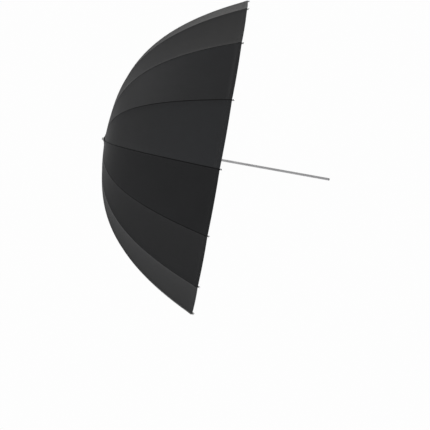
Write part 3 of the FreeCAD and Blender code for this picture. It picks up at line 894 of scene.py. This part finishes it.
tie_source.materials.append(make_thread())
for index, number in enumerate(numbers):
    tie = turned(tie_source, index, "rib_ties_" + number)
    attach(tie, "rib_" + number)
print("ties:", len(TIE_RADII) * RIB_COUNT, "of", TIE_TURNS, "turns")

# %% [markdown]
# ## Finishes of the hard parts
# The CAD nodes keep their meshes and get finishes of their own: satin plated steel for the shaft,
# bright plating for the ferrule, wires and pins, moulded plastic for the hubs, black enamel for
# the stretchers and spring steel for the catch. Two recipes make them all, one for metal and one
# for plastic and enamel. Both use the shared marks, so that no surface is perfectly clean.

# %% Write the two recipes
METAL_GRAIN = 0.00002
RUBBED = -0.12


def make_metal(name, light, dark, rough, spread, marks, grain):
    """Plated metal: marks is how many smudges fit in a metre, grain the stretch of its fine lines."""
    material, tree, shader = new_material(name)
    place = object_place(tree)
    worn = use_group(tree, marks_group, Vector=place, Scale=marks)
    lines = noise(tree, stretched(tree, place, grain), scale=1.0, detail=2.0)
    feed(tree, shader.inputs["Base Color"], blend_colours(tree, worn["Smudge"], light, dark))
    rough = calc(tree, "ADD", calc(tree, "MULTIPLY", worn["Smudge"], spread), rough)
    feed(tree, shader.inputs["Roughness"], calc(tree, "MULTIPLY_ADD", lines, spread, rough))
    shader.inputs["Metallic"].default_value = 1.0
    raise_surface(tree, shader, lines, METAL_GRAIN)
    return material


def make_moulded(name, light, dark, rough, marks, texture):
    """Moulded plastic or enamel with a fine texture, rubbed a little smoother in places."""
    material, tree, shader = new_material(name)
    place = object_place(tree)
    worn = use_group(tree, marks_group, Vector=place, Scale=marks)
    feed(tree, shader.inputs["Base Color"], blend_colours(tree, worn["Smudge"], dark, light))
    feed(tree, shader.inputs["Roughness"], calc(tree, "MULTIPLY_ADD", worn["Smudge"], RUBBED, rough))
    raise_surface(tree, shader, worn["Fine"], texture)
    return material


print("recipes:", make_metal.__name__, "and", make_moulded.__name__)

# %% [markdown]
# ## Metals
# Lengthwise lines come from noise that is stretched along the shaft. Drawn tube and spring strip
# have them, while small plated pieces are polished the same in every direction.

# %% Make the metals
shaft_steel = make_metal(
    "satin_steel", light=grey(0.88, 0.01), dark=grey(0.76, 0.01),
    rough=0.24, spread=0.08, marks=26.0, grain=(30.0, 1800.0, 1800.0)
)
bright_metal = make_metal(
    "bright_plating", light=grey(0.86, -0.01), dark=grey(0.70),
    rough=0.08, spread=0.06, marks=90.0, grain=(900.0, 900.0, 900.0)
)
spring_steel = make_metal(
    "spring_steel", light=grey(0.58, 0.02), dark=grey(0.40, 0.02),
    rough=0.26, spread=0.1, marks=120.0, grain=(60.0, 2400.0, 2400.0)
)
print("metals:", [metal.name for metal in (shaft_steel, bright_metal, spring_steel)])

# %% [markdown]
# ## Plastics and enamel
# The hubs are moulded in a dense black plastic. The grip under the thumb is paler and rougher,
# the washer and the end cap are plain, and the stretchers' enamel is the smoothest.

# %% Make the plastics and the enamel
hub_plastic = make_moulded(
    "hub_plastic", light=grey(0.030, 0.001), dark=grey(0.016, 0.001),
    rough=0.46, marks=60.0, texture=0.00004
)
grip_plastic = make_moulded(
    "grip_plastic", light=grey(0.040, 0.002), dark=grey(0.026, 0.001),
    rough=0.62, marks=80.0, texture=0.00006
)
cap_plastic = make_moulded(
    "cap_plastic", light=grey(0.024, 0.001), dark=grey(0.014, 0.001),
    rough=0.5, marks=120.0, texture=0.00003
)
enamel = make_moulded(
    "black_enamel", light=grey(0.028, 0.001), dark=grey(0.014),
    rough=0.34, marks=40.0, texture=0.00002
)
print("finishes so far:", len(bpy.data.materials))

# %% [markdown]
# ## Ribs
# A rib is a black fibreglass rod with plated fittings at its root, at its clip and at its tip.
# Its CAD node holds all of them in one mesh, so one finish tells them apart by their distance
# from the shaft's axis, which is measured with the umbrella open.

# %% Make the rib's finish
ROOT_END = 0.0345
CLIP_MIDDLE = 0.2575
CLIP_HALF = 0.0080
TIP_START = 0.5176
ROD_MARKS = 45.0
ROD_BLACK = grey(0.010)
ROD_WORN = grey(0.020, 0.001)
FITTING_LIGHT = grey(0.74, -0.01)
FITTING_DARK = grey(0.56)
ROD_ROUGHNESS = 0.3
SMUDGE_ROUGHNESS = 0.1
FITTING_GLOSS = -0.14
ROD_GRAIN = 0.00002


def make_rib_finish():
    """Black fibreglass with plated fittings at the root, the clip and the tip."""
    material, tree, shader = new_material("rib_rod_and_fittings")
    place = object_place(tree)
    radius, parts = distance_from_shaft(tree, place)
    root = calc(tree, "LESS_THAN", radius, ROOT_END)
    from_clip = calc(tree, "ABSOLUTE", calc(tree, "SUBTRACT", radius, CLIP_MIDDLE))
    clip = calc(tree, "LESS_THAN", from_clip, CLIP_HALF)
    tip = calc(tree, "GREATER_THAN", radius, TIP_START)
    metal = calc(tree, "MAXIMUM", calc(tree, "MAXIMUM", root, clip), tip)
    worn = use_group(tree, marks_group, Vector=place, Scale=ROD_MARKS)
    rod = blend_colours(tree, worn["Smudge"], ROD_BLACK, ROD_WORN)
    plated = blend_colours(tree, worn["Smudge"], FITTING_LIGHT, FITTING_DARK)
    feed(tree, shader.inputs["Base Color"], blend_colours(tree, metal, rod, plated))
    feed(tree, shader.inputs["Metallic"], metal)
    rough = calc(tree, "MULTIPLY_ADD", worn["Smudge"], SMUDGE_ROUGHNESS, ROD_ROUGHNESS)
    rough = calc(tree, "MULTIPLY_ADD", metal, FITTING_GLOSS, rough)
    feed(tree, shader.inputs["Roughness"], rough)
    raise_surface(tree, shader, worn["Fine"], ROD_GRAIN)
    return material


rib_finish = make_rib_finish()
print("rib's finish:", rib_finish.name)

# %% [markdown]
# ## Finishes on the CAD nodes
# A CAD node keeps its mesh and only changes its material, so its shape stays exactly as designed.

# %% Give every CAD node its finish
FINISHES = {
    "shaft_tube": shaft_steel,
    "shaft_end_cap": cap_plastic,
    "cross_pins": bright_metal,
    "top_washer": cap_plastic,
    "tip_ferrule": bright_metal,
    "top_notch": hub_plastic,
    "notch_wire": bright_metal,
    "runner": hub_plastic,
    "runner_wire": bright_metal,
    "runner_grip": grip_plastic,
    "catch": spring_steel,
}
for number in numbers:
    FINISHES["rib_" + number] = rib_finish
    FINISHES["stretcher_" + number] = enamel

for name, material in FINISHES.items():
    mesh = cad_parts[name].data
    mesh.materials.clear()
    mesh.materials.append(material)
print("nodes with finishes:", len(FINISHES))

# %% [markdown]
# ## Floor
# The umbrella is held in the air by its shaft, as on a light stand, so the floor lies far below
# it. The floor is plain white to the eye. A Light Path node keeps that white out of the light
# that falls on the cloth, because a glowing floor would wash out the black.

# %% Make the floor
FLOOR_LEVEL = -1.9
FLOOR_SIZE = 30.0
SEEN_WHITE = grey(0.985)


def make_floor():
    bm = bmesh.new()
    bmesh.ops.create_grid(bm, x_segments=1, y_segments=1, size=FLOOR_SIZE)
    bmesh.ops.translate(bm, verts=bm.verts, vec=(0, 0, FLOOR_LEVEL))
    mesh = bpy.data.meshes.new("floor")
    bm.to_mesh(mesh)
    bm.free()
    floor = add_piece("floor", mesh)
    return floor


def show_to_camera(tree, felt, seen, output):
    """The camera sees one shader, and the light meets the other."""
    path = put(tree, "ShaderNodeLightPath")
    mix = put(tree, "ShaderNodeMixShader")
    tree.links.new(path.outputs["Is Camera Ray"], mix.inputs[0])
    tree.links.new(felt.outputs[0], mix.inputs[1])
    tree.links.new(seen.outputs[0], mix.inputs[2])
    tree.links.new(mix.outputs[0], output.inputs["Surface"])


def make_floor_finish():
    """White to the eye, and a plain pale surface to the light."""
    material, tree, shader = new_material("white_floor")
    shader.inputs["Base Color"].default_value = grey(0.8)
    shader.inputs["Roughness"].default_value = 0.9
    glow = put(tree, "ShaderNodeEmission")
    glow.inputs["Color"].default_value = SEEN_WHITE
    output = next(node for node in tree.nodes if node.type == "OUTPUT_MATERIAL")
    show_to_camera(tree, shader, glow, output)
    return material


floor = make_floor()
floor.data.materials.append(make_floor_finish())
print("floor at z:", FLOOR_LEVEL)

# %% [markdown]
# ## Backdrop
# The backdrop is the world itself: the same white to the eye, and a dim even light to the cloth.

# %% Make the white room
ROOM_LIGHT = 0.37


def make_room():
    world = bpy.data.worlds.new("white_room")
    bpy.context.scene.world = world
    world.use_nodes = True
    tree = world.node_tree
    tree.nodes.clear()
    seen = put(tree, "ShaderNodeBackground")
    seen.inputs["Color"].default_value = SEEN_WHITE
    felt = put(tree, "ShaderNodeBackground")
    felt.inputs["Strength"].default_value = ROOM_LIGHT
    show_to_camera(tree, felt, seen, put(tree, "ShaderNodeOutputWorld"))


make_room()
print("room light:", ROOM_LIGHT)

# %% [markdown]
# ## Soft lamps
# Five large soft lamps do the rest. One stands at the side, one beyond the top of the bowl, one
# above and one behind, and together they give each gore its own grey. The fifth shines into the
# mouth, as a studio lamp does, and lights the shaft and the white inside.

# %% Place the soft lamps
COOL_WHITE = (0.86, 0.92, 1.0)
WARM_WHITE = (1.0, 0.98, 0.94)
PLAIN_WHITE = (1.0, 1.0, 1.0)


def add_lamp(name, place, aim, size, power, colour):
    """A square soft lamp that looks at a point on the shaft's axis."""
    data = bpy.data.lights.new(name, "AREA")
    data.color = colour
    data.shape = "SQUARE"
    data.size = size
    data.energy = power
    lamp = bpy.data.objects.new(name, data)
    bpy.context.scene.collection.objects.link(lamp)
    lamp.location = place
    towards = Vector((aim, 0, 0)) - lamp.location
    lamp.rotation_euler = towards.to_track_quat("-Z", "Y").to_euler()


LAMPS = [
    ("side_lamp", (-3.4, -2.4, 1.6), -0.6, 2.0, 14.5, COOL_WHITE),
    ("apex_lamp", (-4.0, 0.6, 1.6), -0.6, 2.0, 9.5, PLAIN_WHITE),
    ("top_lamp", (-0.6, -0.6, 3.4), -0.45, 1.6, 3.6, PLAIN_WHITE),
    ("back_lamp", (-0.9, 2.6, 2.6), -0.45, 2.4, 6.5, WARM_WHITE),
    ("bowl_lamp", (2.0, -1.1, 0.7), -0.4, 1.0, 40.0, PLAIN_WHITE),
]
for settings in LAMPS:
    add_lamp(*settings)
bpy.context.scene.view_settings.view_transform = "Standard"
print("lamps:", len(bpy.data.lights))

# %% Turn a box into plain numbers
def plain(box):
    return [[float(value) for value in corner] for corner in box]
